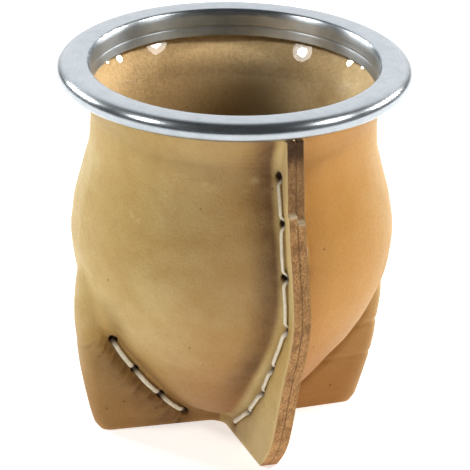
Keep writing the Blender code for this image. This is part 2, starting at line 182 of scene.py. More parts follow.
def body_radius(z):
    """The round body's radius at a height, down to the corners between the folds."""
    bowl = BODY[0][1] * np.sqrt(np.clip((z - BOWL_BOTTOM) / (BOWL_END - BOWL_BOTTOM), 0.0, None))
    return np.where(z >= BOWL_END, along(BODY, z), np.maximum(bowl, CORNER))


def reach(seam, side, z):
    """How far from the axis a seam's edge or a fold's nose reaches."""
    if seam != "front":
        return np.maximum(along(FOLD_REACH, z), body_radius(z) + LEAST_FOLD)
    step = SEAM_STEP_HEIGHT[side]
    return along(SEAM_REACH, z) - EDGE_INSIDE - SEAM_STEP * ease(step - 0.2, step + 0.2, z)


def half_of(seam):
    return SEAM_HALF if seam == "front" else FOLD_HALF


def holes_of(seam):
    return SEAM_HOLES if seam == "front" else FOLD_HOLES


def stitch_line(seam, z):
    """Distance from the axis of a seam's stitches at a height."""
    return along([(height, distance) for distance, height in reversed(holes_of(seam))], z)


def azimuth(seam, z):
    """Where a seam or fold stands at a height, in radians."""
    return np.radians(along(AZIMUTH[seam], z))


class Section:
    """One side of a fin at one height: its radius at any angle from the fin's middle."""

    def __init__(self, seam, side, z):
        self.seam, self.z = seam, z
        self.half = half_of(seam)
        self.body = float(body_radius(z))
        self.tip = float(reach(seam, side, z))
        far, wide = self.body + ROOT_FILLET, self.half + ROOT_FILLET
        root = math.sqrt(max(0.0, far * far - wide * wide))
        self.nose = self.tip - self.half
        self.run_out = seam != "front" and root > self.nose
        if self.run_out:
            cosine = (far * far + self.nose ** 2 - wide * wide) / (2 * far * self.nose)
            turn = math.acos(min(1.0, cosine))
            self.centre = (far * math.cos(turn), far * math.sin(turn))
            share = self.half / wide
            touch = (self.nose + (self.centre[0] - self.nose) * share, self.centre[1] * share)
            self.nose_end = self.root_start = math.atan2(touch[1], touch[0])
            self.root_end = turn
        else:
            self.centre = (root, wide)
            self.nose_end = math.atan2(self.half, self.tip if seam == "front" else self.nose)
            self.root_start = math.atan2(self.half, root)
            self.root_end = math.atan2(wide, root)
        self.root = root

    def radius(self, turn):
        sine = self.nose * np.sin(turn)
        nose = self.nose * np.cos(turn) + np.sqrt(np.clip(self.half ** 2 - sine ** 2, 0.0, None))
        flat = self.half / np.sin(np.maximum(turn, 1e-3))
        ray = self.centre[0] * np.cos(turn) + self.centre[1] * np.sin(turn)
        inside = ray * ray - self.centre[0] ** 2 - self.centre[1] ** 2 + ROOT_FILLET ** 2
        fillet = ray - np.sqrt(np.clip(inside, 0.0, None))
        made = np.where(turn <= self.root_start, flat, np.where(turn >= self.root_end, self.body, fillet))
        if self.seam != "front":
            made = np.where(turn <= self.nose_end, nose, made)
        return made

    def turns(self):
        """Angles from the tip to the middle between two fins, closest round the nose and the stitches."""
        nose, first = np.array([self.nose_end]), self.tip
        if self.seam != "front":
            nose, first = self.nose_end * np.sin(np.linspace(0, math.pi / 2, 60)), self.nose
        side = np.array([self.nose_end])
        if not self.run_out:
            side = np.arctan2(self.half, np.linspace(first, self.root, 160))
        fillet = np.linspace(self.root_start, self.root_end, 60)
        arc = np.linspace(self.root_end, EIGHTH, 80)
        fine = np.maximum.accumulate(np.concatenate([nose, side, fillet, arc]))
        r = self.radius(fine)
        x, y = r * np.cos(fine), r * np.sin(fine)
        shares = np.repeat(COLUMN_SHARES, [len(nose), len(side), len(fillet) - 1, len(arc)])
        sewn = (fine[1:] <= self.root_end) * (1.0 if self.seam == "front" else 1 - ease(*FOLD_SEWN, self.z))
        near = hill(float(stitch_line(self.seam, self.z)), STITCH_REACH, (x[1:] + x[:-1]) / 2) * sewn
        weights = np.hypot(np.diff(x), np.diff(y)) * (shares + STITCH_SHARE * near) + 1e-7
        total = np.concatenate([[0.0], np.cumsum(weights)])
        return np.interp(np.linspace(0, total[-1], SIDE_COLUMNS + 1), total, fine)


def swollen(seam, turn, radius, z):
    """The angle from a fold's middle after the fold swells past its stitches."""
    if seam == "front":
        return turn
    line = stitch_line(seam, z)
    past = np.maximum(ease(line + SWELL_PAST[0], line + SWELL_PAST[1], radius), ease(*SWELL_ABOVE, z))
    fade = 1 - ease(*SWELL_FADE, turn)
    return turn + along(FOLD_SWELL, z) * past * fade * np.minimum(turn, SWELL_FADE[0])


def row_heights():
    """Heights of the leather's rows, their count a whole number of the flesh side's coarser ones."""
    foot = np.arange(0.0, BOWL_BOTTOM, ROW_STEP)
    radii = np.linspace(CORNER, BODY[0][1], BOWL_ROWS)
    bowl = BOWL_BOTTOM + (BOWL_END - BOWL_BOTTOM) * (radii / BODY[0][1]) ** 2
    count = int(round((LEATHER_TOP - BOWL_END) / ROW_STEP / INNER_SKIP)) * INNER_SKIP
    heights = np.concatenate([foot, bowl[:-1], np.linspace(BOWL_END, LEATHER_TOP, count + 1)])
    spare = (len(heights) - 1) % INNER_SKIP
    return heights if spare == 0 else np.concatenate([[0.0], heights[spare + 1:]])


def noise(x, y, z):
    """Smooth value noise between -1 and 1, one feature per unit."""
    total = np.zeros(np.broadcast(x, y, z).shape)
    cells, parts = [], []
    for v in (x, y, z):
        low = np.floor(v)
        t = v - low
        cells.append(low.astype(int))
        parts.append(t * t * (3 - 2 * t))
    for corner in range(8):
        weight, spot = 1.0, []
        for axis in range(3):
            up = corner >> axis & 1
            weight = weight * (parts[axis] if up else 1 - parts[axis])
            spot.append((cells[axis] + up) % len(NOISE_TABLE))
        total += weight * NOISE_TABLE[tuple(spot)]
    return total * 2 - 1


def rough_noise(points, scale, octaves):
    """Several sizes of noise added together, in millimetres of feature size."""
    total, size, share = 0.0, scale, 1.0
    for octave in range(octaves):
        x, y, z = (points[..., k] / size + 11.3 * octave for k in range(3))
        total = total + share * noise(x, y, z)
        size, share = size / 2.1, share / 2
    return total


def sheet_points():
    """The leather's outer face, rows by height and columns from cut edge to cut edge, with its marks.

    A point's marks are its distance out along its fin and off the fin's middle, its seam and its side.
    """
    sides = [(k, side) for k in range(4) for side in (-1, 1)]
    rows, all_marks = [], []
    for z in row_heights():
        row, row_marks = [], []
        for k, side in sides[1:] + sides[:1]:
            seam, other = SEAMS[k], SEAMS[(k + side) % 4]
            section = Section(seam, side, z)
            turns = section.turns()
            distance = section.radius(turns)
            middle, apart = float(azimuth(seam, z)), float(azimuth(other, z))
            drift = (apart - middle) * side % (2 * math.pi) / 2 - EIGHTH
            bend = ease(section.root_start, EIGHTH, turns)
            angle = middle + side * (swollen(seam, turns, distance, z) + drift * bend)
            same = np.ones(len(turns))
            points = [distance * np.sin(angle), -distance * np.cos(angle), z * same]
            marks = [distance * np.cos(turns), distance * np.sin(turns), k * same, side * same]
            first = 1 if row else 0
            row.append(np.stack(points, axis=1)[::side][first:])
            row_marks.append(np.stack(marks, axis=1)[::side][first:])
        rows.append(np.concatenate(row))
        all_marks.append(np.concatenate(row_marks))
    return np.array(rows), np.array(all_marks)


def grid_normals(grid):
    normal = np.cross(np.gradient(grid, axis=1), np.gradient(grid, axis=0))
    return normal / np.maximum(np.linalg.norm(normal, axis=2, keepdims=True), 1e-9)


def slit_depth(marks, z, seam, side):
    """How deep a slit is at each point of a fin's side, and how near the point is to a slit."""
    holes = holes_of(seam)
    runs = np.gradient(np.array(holes), axis=0)
    on_side = (marks[..., 2] == SEAMS.index(seam)) & (marks[..., 3] == side)
    depth, near = np.zeros((2, *z.shape))
    for (distance, height), run in zip(holes, runs / np.linalg.norm(runs, axis=1, keepdims=True)):
        along_slit = (marks[..., 0] - distance) * run[0] + (z - height) * run[1]
        across_slit = (marks[..., 0] - distance) * run[1] - (z - height) * run[0]
        shape = np.abs(along_slit) / SLIT_HALF_LENGTH
        width = SLIT_HALF_WIDTH * np.clip(1 - shape ** 2, 0.0, None) + 1e-6
        wall = np.clip(1 - (across_slit / width) ** 2, 0.0, 1.0) * (shape < 1)
        depth = np.maximum(depth, SLIT_DEPTH * np.sqrt(wall) * on_side)
        far = np.hypot(along_slit / SLIT_DRAWN_AND_SHADED[0], across_slit / SLIT_DRAWN_AND_SHADED[1])
        near = np.maximum(near, hill(0.0, 1.0, far) * on_side)
    return depth, near


def leather_relief(grid, marks):
    """How far the outer face stands off the plain sheet, how near it is to the sewing, and the slits."""
    z, out = grid[..., 2], marks[..., 0]
    relief = 0.22 * rough_noise(grid, 17.0, 3) + 0.05 * rough_noise(grid + 40, 3.4, 2)
    slit_near, line_near, slits = np.zeros((3, *z.shape))
    for k, seam in enumerate(SEAMS):
        top = holes_of(seam)[0][1]
        on_seam = (marks[..., 2] == k) & (marks[..., 1] < half_of(seam) + 2.4)
        sewn = on_seam * (1 - ease(top, top + 2.5, z))
        off_line = out - stitch_line(seam, z)
        relief -= STITCH_DENT * hill(0.0, 1.3, off_line) * sewn
        line_near = np.maximum(line_near, hill(0.0, 2.2, off_line) * sewn)
        for side in (1, -1):
            depth, near = slit_depth(marks, z, seam, side)
            slits = np.maximum(slits, depth)
            slit_near = np.maximum(slit_near, near)
            relief -= SLIT_DENT * near
    pale_scratch_and_glint, dark_scratch = scratches(grid)
    relief += SCRATCH_DEPTH * (pale_scratch_and_glint - dark_scratch) + rim_wrinkles(grid)
    relief += fold_wrinkles(marks, z) - right_creases(marks, z)
    edge = on_cut_edge(marks)
    relief = relief * (1 - 0.8 * edge) - 0.14 * edge
    for share, sink in ((1 - ease(0.0, 1.2, z), 0.12), (ease(84.5, 88.0, z), 0.15)):
        relief = relief * (1 - share) - sink * share
    return relief - slits, slit_near, line_near, slits


def fold_wrinkles(marks, z):
    """Pull wrinkles that leave the left fold's stitches and die out towards its edge."""
    out = marks[..., 0]
    off_line = out - stitch_line("left", z)
    here = (marks[..., 2] == LEFT) * (marks[..., 3] == 1) * (marks[..., 1] < FOLD_HALF + 1.5)
    fade = ease(0.2, 1.6, off_line) * (1 - ease(3.0, 12.0, off_line)) * (1 - ease(24.0, 28.0, z))
    run = 0.72 * out + 0.69 * z
    wave = np.sin(run * 2.9 + 0.22 * off_line) + 0.6 * np.sin(run * 1.7 - 0.3 * off_line + 1.0)
    return 0.22 * here * fade * wave


def degrees_round(grid):
    """Degrees round the cup from the front, between -180 and 180."""
    return np.degrees(np.arctan2(grid[..., 0], -grid[..., 1]))


def scratches(grid):
    """The scratches near each point of the leather: pale raised ones, two of them painted highlight specks,
    and dark ones, between 0 and 1.
    """
    angle = degrees_round(grid)
    made = []
    for kind in (PALE_SCRATCHES_AND_GLINTS, DARK_SCRATCHES):
        near = np.zeros(angle.shape)
        for (turn, height), (last_turn, last_height) in kind:
            around = math.radians(1) * float(body_radius(height))
            run = np.array([(last_turn - turn) * around, last_height - height])
            spot = np.stack([(angle - turn) * around, grid[..., 2] - height], axis=-1)
            share = np.clip(spot @ run / (run @ run), 0.0, 1.0)
            gap = np.linalg.norm(spot - share[..., None] * run, axis=-1)
            near = np.maximum(near, hill(0.0, 0.42, gap) * (0.35 + 0.65 * np.sin(math.pi * share)))
        made.append(near)
    return made


def rim_wrinkles(grid):
    """Fine level wrinkles in the leather under the rim, left of the seam."""
    angle, z = degrees_round(grid), grid[..., 2]
    here = ease(-30.0, -20.0, angle) * (1 - ease(-8.0, -4.0, angle)) * ease(79.5, 82.0, z)
    return 0.10 * here * np.sin(5.2 * z + 0.16 * angle + 2.0 * noise(angle / 7.0, z / 5.0, angle * 0))


def right_creases(marks, z):
    """Two shallow creases across the right fold."""
    out = marks[..., 0]
    here = (marks[..., 2] == RIGHT) * (marks[..., 3] == -1)
    first = hill(21.5 + 0.10 * (out - 30.0), 0.7, z) * ease(17.0, 22.0, out)
    second = hill(13.0 + 0.06 * (out - 30.0), 0.6, z) * ease(21.0, 25.0, out)
    return here * (0.34 * first + 0.26 * second)


def on_cut_edge(marks):
    """1 at the seam's cut edges, falling to 0 about a millimetre in."""
    on_flange = (marks[..., 2] == FRONT) & (marks[..., 1] < SEAM_HALF + 0.3)
    return hill(0.0, 0.7, np.clip(marks[:, :1, 0] - marks[..., 0], 0.0, None)) * on_flange


def add_object(name, data):
    """A new object in the scene."""
    made = bpy.data.objects.new(name, data)
    bpy.context.scene.collection.objects.link(made)
    return made


class MeshMaker:
    """Collects points, faces, materials and tints for one mesh."""

    def __init__(self):
        self.points, self.faces, self.slots, self.tints = [], [], [], {}
        self.count = 0

    def add_points(self, points, **tints):
        points = np.asarray(points, float).reshape(-1, 3)
        start, self.count = self.count, self.count + len(points)
        for name in {**self.tints, **tints}:
            stored = self.tints.setdefault(name, [np.zeros(start)])
            stored.append(np.broadcast_to(np.ravel(tints.get(name, 0.0)), len(points)))
        self.points.append(points)
        return np.arange(start, self.count)

    def add_grid(self, index, slot=0, flip=False):
        corners = [index[:-1, :-1], index[:-1, 1:], index[1:, 1:], index[1:, :-1]]
        quads = np.stack(corners[::-1] if flip else corners, axis=-1).reshape(-1, 4)
        self.faces += quads.tolist()
        self.slots += [slot] * len(quads)

    def add_face(self, face, slot=0):
        self.faces.append([int(k) for k in face])
        self.slots.append(slot)

    def make(self, name, materials):
        points = (np.concatenate(self.points) + np.array([0.0, AXIS_Y, 0.0])) * MM
        mesh = bpy.data.meshes.new(name)
        mesh.from_pydata(points.tolist(), [], self.faces)
        for made in materials:
            mesh.materials.append(made)
        mesh.polygons.foreach_set("material_index", self.slots)
        for tint, values in self.tints.items():
            layer = mesh.attributes.new(tint, "FLOAT", "POINT")
            layer.data.foreach_set("value", np.concatenate(values))
        mesh.shade_smooth()
        mesh.validate()
        return add_object(name, mesh)


def make_leather(materials):
    """The leather sheet: grain side outside, flesh side inside, cut edges at the seam, top and feet."""
    base, marks = sheet_points()
    normals = grid_normals(base)
    relief, slit_near, line_near, slits = leather_relief(base, marks)
    z = base[..., 2]
    skived = 1 - (1 - LEATHER_SKIVED / LEATHER) * ease(SKIVE_FROM, SKIVE_TO, z)
    proud = np.hypot(base[..., 0], base[..., 1]) - body_radius(z)
    thickness = LEATHER * (skived + (1 - skived) * ease(0.5, 3.0, proud))
    thickness = pressed_shut(thickness, marks, z, proud)
    outer = base + normals * relief[..., None]
    inner = base - normals * thickness[..., None]
    for face in (outer, inner):
        face[..., 2] = np.maximum(face[..., 2], 0.0)
        face[0, :, 2] = 0.0
    maker = MeshMaker()
    rows, columns = z.shape
    tints = leather_tints(base, marks, slit_near, line_near, slits)
    grain = maker.add_points(outer, **tints).reshape(rows, columns)
    maker.add_grid(grain)
    start = add_cut_face(maker, outer[:, 0], inner[:, 0], grain[:, 0], 1, 9.0)
    end = add_cut_face(maker, outer[:, -1], inner[:, -1], grain[:, -1], -1, 3.0)
    flesh = np.zeros((rows, columns), int)
    flesh[:, 0], flesh[:, -1] = start[:, -1], end[:, -1]
    for row in (0, rows - 1):
        flesh[row, 1:-1] = maker.add_points(inner[row, 1:-1])
        lip, border = grain[row], flesh[row]
        for k in range(columns - 1):
            last_side = end[row, 1:-1] if k == columns - 2 else []
            first_side = start[row, -2:0:-1] if k == 0 else []
            face = [lip[k], lip[k + 1], *last_side, border[k + 1], border[k], *first_side]
            maker.add_face(face if row else face[::-1], 1)
    add_flesh_side(maker, inner, flesh)
    return maker.make("leather_sheet", materials)


def pressed_shut(thickness, marks, z, proud):
    """The thickness with a fin's two layers pressed together, and shut round the axis at the floor."""
    off_side = marks[..., 1]
    half = np.where(marks[..., 2] == FRONT, SEAM_HALF, FOLD_HALF)
    on_fin = (1 - ease(0.1, 1.2, off_side - half)) * ease(1.0, 3.0, proud)
    thickness = thickness + (half - LAYERS_APART - thickness) * on_fin
    wide = half + ROOT_FILLET
    meeting = wide * ROOT_FILLET / np.maximum(wide - off_side, 1.0) - ROOT_FILLET - 2 * LAYERS_APART
    at_floor = (1 - ease(BOWL_BOTTOM - 0.3, BOWL_BOTTOM + 0.4, z)) * (1 - on_fin)
    return thickness + (np.clip(meeting, half - LAYERS_APART, SHUT_REACH) - thickness) * at_floor


def add_cut_face(maker, outer, inner, outer_index, side, seed):
    """A cut edge: rounded at its corners, with a fibrous, slightly hollow face between them."""
    out = outer * np.array([1.0, 1.0, 0.0])
    out /= np.linalg.norm(out, axis=1, keepdims=True)
    lines = [outer_index]
    for t in np.arange(1, EDGE_STEPS + 1) / EDGE_STEPS:
        spot = outer + (inner - outer) * t
        height = spot[:, 2]
        same = np.ones(len(spot))
        lump = rough_noise(np.stack([height * 0.55, t * 5.0 * same, seed * same], axis=1), 1.0, 3)
        inset = 0.10 + 0.13 * (lump * 0.5 + 0.5) * math.sin(math.pi * t) + 0.10 * abs(2 * t - 1) ** 6
        trimmed = inset * ease(0.0, 0.8, height) * (1 - ease(LEATHER_TOP - 0.8, LEATHER_TOP, height))
        worn, ledge = cut_tints(height, side)
        lines.append(maker.add_points(spot - out * trimmed[:, None], across=t, worn=worn, ledge=ledge))
    index = np.stack(lines, axis=1)
    maker.add_grid(index, 1, flip=side > 0)
    return index


def cut_tints(z, side):
    """Painted shade on the cut edge under the rim, darker above its step, and how pale it is on its step."""
    step = SEAM_STEP_HEIGHT[side]
    at_rim = ease(82.0, 86.0, z)
    return 0.85 * at_rim + 0.38 * ease(step - 0.6, step + 0.6, z) * (1 - at_rim), hill(step, 0.5, z)


def add_flesh_side(maker, inner, index):
    """The inner face: coarse, but with every point of the borders, which index already holds."""
    rows, columns = index.shape
    coarse = np.ix_(range(INNER_SKIP, rows - 1, INNER_SKIP), range(INNER_SKIP, columns - 1, INNER_SKIP))
    spots = inner[coarse]
    index[coarse] = maker.add_points(spots).reshape(spots.shape[:2])
    for low in range(0, rows - 1, INNER_SKIP):
        for left in range(0, columns - 1, INNER_SKIP):
            high, right = low + INNER_SKIP, left + INNER_SKIP
            borders = (low == 0, right == columns - 1, high == rows - 1, left == 0)
            under, after, over, before = (1 if border else INNER_SKIP for border in borders)
            face = [index[low, left:right:under], index[low:high:after, right],
                    index[high, right:left:-over], index[high:low:-before, left]]
            maker.add_face(np.concatenate(face)[::-1], 2)


def leather_tints(grid, marks, slit_near, line_near, slits):
    """Tints between 0 and 1: stains with painted shade, warm orange, pale marks with painted light, shade,
    and painted shade in the slits.
    """
    z = grid[..., 2]
    out, off_side, seam, side = np.moveaxis(marks, -1, 0)
    angle = degrees_round(grid)
    front = seam == FRONT
    proud = out - body_radius(z)
    pale_scratch_and_glint, dark_scratch = scratches(grid)

    # painted shade in the valleys where the fins meet the body, strongest left of the front seam and low on
    # the folds
    valley = ease(3.0, 4.6, off_side) * (1 - ease(5.0, 12.0, off_side)) * (1 - ease(2.5, 5.0, proud))
    at_front = np.where(side < 0, 0.70, 0.12) * front * ease(8.0, 24.0, z)
    at_fold = 0.35 * ~front * (1 - ease(30.0, 44.0, z))
    # painted shade in the hollows of the left fold's wrinkles
    crumpled = 0.7 * np.clip(-fold_wrinkles(marks, z) / 0.35, 0, 1)
    # darker brown past the left fold's stitches, low down: partly the leather's own colour, partly painted
    # shade
    past_left = out - stitch_line("left", z)
    brown_and_shade_past_stitches = 0.42 * ease(-1.0, 1.0, past_left) * (1 - ease(3.0, 14.0, past_left)) * ease(28.0, 18.0, z)
    brown_and_shade_past_stitches *= (seam == LEFT) * (side == 1)
    # stains and dark scratches, with painted shade round slits and stitches, in the valleys and in the fold's
    # wrinkles
    stain_and_shade = np.maximum.reduce([0.45 * slit_near + 0.10 * line_near, valley * (at_front + at_fold), crumpled,
                               brown_and_shade_past_stitches, 0.5 * dark_scratch])

    cut = hill(0.0, 0.45, marks[:, :1, 0] - out) * front * (off_side < SEAM_HALF + 0.3)
    nose = 0.5 * hill(0.0, 3.0, reach("right", -1, z) - out) * (seam == RIGHT) * (side == -1)
    # painted light on the upper part of the front flange's left face
    painted_flange_light = 0.75 * (1 - ease(SEAM_HALF + 0.1, SEAM_HALF + 0.9, off_side)) * ease(44.0, 60.0, z)
    painted_flange_light *= front * (side < 0) * (1 - slit_near)
    pale = np.maximum.reduce([cut, 0.5 * pale_scratch_and_glint, nose, painted_flange_light])

    warm = ease(3.2, 7.0, angle) * (1 - 0.40 * ease(22.0, 66.0, angle)) * (1 - ease(90.0, 175.0, angle))
    on_flange = front * (1 - ease(SEAM_HALF + 0.3, SEAM_HALF + 2.2, off_side))
    low = 0.66 * ease(44.0, 6.0, z) * (1 - 0.85 * on_flange)
    toward_seam = 0.50 * ease(-74.0, -12.0, angle) * (angle < 0) * (1 - on_flange)
    # the slit tint is painted shade inside the slits
    tints = {"stain_and_shade": stain_and_shade, "warm": warm, "pale": pale, "shade": 1 - (1 - low) * (1 - toward_seam),
             "slit": (slits - 0.1) / 0.4}
    return {name: np.clip(value, 0, 1) for name, value in tints.items()}


def ring_points(maker, outline, sides):
    """Turns an outline of (radius, height) round the axis, and gives its points closed to a ring."""
    turns = np.linspace(0, 2 * math.pi, sides, endpoint=False)
    radius, height = np.array(outline).T[..., None]
    ring = np.broadcast_arrays(radius * np.cos(turns), radius * np.sin(turns), height)
    index = maker.add_points(np.stack(ring, axis=2)).reshape(len(outline), sides)
    return np.concatenate([index, index[:, :1]], axis=1)


def turned(name, outline, sides, materials, slots):
    """A turned mesh from a closed outline; slots gives the material of its parts other than the first."""
    maker = MeshMaker()
    index = ring_points(maker, outline, sides)
    index = np.concatenate([index, index[:1]], axis=0)
    for k in range(len(outline)):
        maker.add_grid(index[k:k + 2], slots.get(k, 0), flip=True)
    return maker.make(name, materials)


def turned_open(name, outline, sides, materials, second_from):
    """A turned mesh whose outline starts and ends on the axis, its second material from second_from on."""
    maker = MeshMaker()
    index = ring_points(maker, outline[1:-1], sides)
    maker.add_grid(index[:second_from], 0, flip=True)
    maker.add_grid(index[second_from - 1:], 1, flip=True)
    first, last = maker.add_points([[0, 0, outline[0][1]], [0, 0, outline[-1][1]]])
    for here, following in zip(index.T, index.T[1:]):
        maker.add_face([first, here[0], following[0]])
        maker.add_face([last, following[-1], here[-1]], 1)
    return maker.make(name, materials)


def rounded(points, sizes, steps):
    """The outline with each corner rounded by its size."""
    made = []
    for k, size in enumerate(sizes):
        here = np.array(points[k], float)
        before, after = np.array(points[k - 1]) - here, np.array(points[(k + 1) % len(points)]) - here
        size = min(size, 0.45 * np.linalg.norm(before), 0.45 * np.linalg.norm(after))
        if size <= 0:
            made.append(tuple(here))
            continue
        start = here + before / np.linalg.norm(before) * size
        end = here + after / np.linalg.norm(after) * size
        for t in np.arange(steps + 1) / steps:
            made.append(tuple((1 - t) ** 2 * start + 2 * t * (1 - t) * here + t * t * end))
    return made


def rim_outline():
    """Section of the rim, running down the bead's outer side and up the collar's inner side."""
    top = CUP_HEIGHT
    half = RIM_BEAD_HEIGHT / 2
    centre = RIM_RADIUS - RIM_BEAD_ROUND
    bead = [(centre + RIM_BEAD_ROUND * math.sin(turn), top - half + half * math.cos(turn))
            for turn in np.linspace(0, math.pi, 25)]
    outer = COLLAR_RADIUS + COLLAR_WALL
    low, step = top - COLLAR_DEPTH, top - COLLAR_STEP_DEPTH
    collar = [(outer + 0.5, top - RIM_BEAD_HEIGHT), (outer, low), (COLLAR_RADIUS - 0.3, low),
              (COLLAR_RADIUS + 0.12, step - 0.3), (COLLAR_RADIUS + 0.27, step),
              (COLLAR_RADIUS + 0.2, step + 0.3), (MOUTH_RADIUS + 0.05, top - 1.2), (MOUTH_RADIUS + 0.85, top)]
    return rounded(bead + collar, [0.0] * len(bead) + [0.3, 0.2, 0.25, 0.1, 0.1, 0.1, 0.6, 0.75], steps=4)


def glass_outline():
    """Section of the glass, from its inner floor over the lip to its bottom, and where outside starts."""
    heights = np.linspace(LEATHER_TOP, 8.5, 90)
    slope = along(BODY, heights + 0.5) - along(BODY, heights - 0.5)
    run = np.hypot(1.0, slope)
    wall = LEATHER + GLASS_OFF - (LEATHER - LEATHER_SKIVED) * ease(SKIVE_FROM, SKIVE_TO, heights)
    outer = np.stack([along(BODY, heights) - wall / run, heights + wall * slope / run], axis=1)
    inner = np.stack([outer[:, 0] - GLASS_WALL / run, outer[:, 1] + GLASS_WALL * slope / run], axis=1)

    flare = np.linspace(GLASS_LIP_HEIGHT - 0.3, GLASS_NECK, 60)
    lean = np.tan(np.radians(along(GLASS_LEAN, (flare[1:] + flare[:-1]) / 2)))
    flared = GLASS_LIP_RADIUS + np.concatenate([[0.0], np.cumsum(lean * np.diff(flare))])
    below = inner[inner[:, 1] < GLASS_NECK - 0.5]
    below[:, 0] += (flared[-1] - below[0, 0]) * ease(GLASS_NECK - 24.0, GLASS_NECK, below[:, 1])
    inner = np.concatenate([np.stack([flared, flare], axis=1), below])
    outer = outer[outer[:, 1] < GLASS_LIP_HEIGHT - 0.3]
    middle, half = (outer[0, 0] + inner[0, 0]) / 2, (outer[0, 0] - inner[0, 0]) / 2
    lip = [(middle - half * math.cos(turn), GLASS_LIP_HEIGHT - GLASS_LIP_ROUND * (1 - math.sin(turn)))
           for turn in np.linspace(0, math.pi, 7)]

    bottom = BOWL_BOTTOM + LEATHER + GLASS_OFF + 0.3
    floor = bottom + GLASS_FLOOR
    inner = inner[inner[:, 1] > floor + 2.5]
    foot = outer[outer[:, 1] > bottom + 0.9]
    bowls = [[(edge[0] * share, level + (edge[1] - level) * share ** 3) for share in (0.0, 0.3, 0.6, 0.85)]
             for edge, level in ((inner[-1], floor), (foot[-1], bottom))]
    inside = bowls[0] + inner[::-1].tolist() + lip
    return inside + foot.tolist() + bowls[1][::-1], len(inside) - 1


def face_point(seam, side, distance, z, off):
    """A point on a fin's flat side, from its distance along the fin and height, raised by off."""
    half = half_of(seam)
    root = math.sqrt(max(0.0, (float(body_radius(z)) + ROOT_FILLET) ** 2 - (half + ROOT_FILLET) ** 2))
    if distance < root:
        half += ROOT_FILLET - math.sqrt(max(0.0, ROOT_FILLET ** 2 - (root - distance) ** 2))
    middle = float(azimuth(seam, z))
    x = distance * math.sin(middle) + side * (half + off) * math.cos(middle)
    y = -distance * math.cos(middle) + side * (half + off) * math.sin(middle)
    return np.array([x, y, z])


def thread_path(seam, side):
    """The thread's middle line on one side, laid on the leather and down into each slit, and its depths."""
    holes = np.array(holes_of(seam))
    lies, bows = (TIGHT_LIES, 0.0) if (seam, side) == ("front", 1) else (THREAD_LIES, STITCH_BOW)
    points, depths = [], []
    for first, second in zip(holes, holes[1:]):
        step, length = second - first, math.dist(first, second)
        bow = bows * np.array([-step[1], step[0]]) / length
        steps = int(length / THREAD_STEP)
        for t in np.arange(steps) / steps:
            sunk = 1 - float(ease(0.4, 2.0, min(t, 1 - t) * length))
            arch = math.sin(math.pi * t)
            off = lies + 0.16 * arch - (THREAD_SINKS + lies) * sunk
            points.append(face_point(seam, side, *(first + t * step + arch * bow), off))
            depths.append(-off)
    points.append(face_point(seam, side, *holes[-1], -THREAD_SINKS))
    return np.array(points), np.array(depths + [THREAD_SINKS])


def make_thread(seam, side, material):
    """One side of a seam's thread: a flattened cord along its path."""
    path, depths = thread_path(seam, side)
    for smoothing in range(2):
        path[1:-1] = (path[:-2] + 2 * path[1:-1] + path[2:]) / 4
    tangent = np.gradient(path, axis=0)
    tangent /= np.linalg.norm(tangent, axis=1, keepdims=True)
    middle = azimuth(seam, path[:, 2])
    out = np.stack([side * np.cos(middle), side * np.sin(middle), np.zeros(len(path))], axis=1)
    out = out - tangent * np.sum(out * tangent, axis=1, keepdims=True)
    out /= np.linalg.norm(out, axis=1, keepdims=True)
    sideways = np.cross(tangent, out)
    run = np.concatenate([[0], np.cumsum(np.linalg.norm(np.diff(path, axis=0), axis=1))])
    wide = THREAD_WIDE * (1 + 0.10 * noise(run / 1.9, run * 0 + 3.3, run * 0 + side))
    turns = 2 * math.pi * np.arange(THREAD_SIDES) / THREAD_SIDES
    flat = np.abs(np.sin(turns)) ** 0.8 * np.sign(np.sin(turns))
    rings = (path[:, None] + sideways[:, None] * (wide[:, None] * np.cos(turns))[..., None]
             + out[:, None] * (THREAD_HIGH * flat)[None, :, None])
    maker = MeshMaker()
    sunk = np.repeat(np.clip(depths / THREAD_SINKS, 0.0, 1.0), THREAD_SIDES)
    index = maker.add_points(rings, across=np.tile(turns / (2 * math.pi), len(path)),
                             run=np.repeat(run, THREAD_SIDES), sunk=sunk).reshape(len(path), THREAD_SIDES)
    maker.add_grid(np.concatenate([index, index[:, :1]], axis=1))
    maker.add_face(index[0])
    maker.add_face(index[-1][::-1])
    return maker.make(f"waxed_thread_{seam}_{'a' if side > 0 else 'b'}", [material])


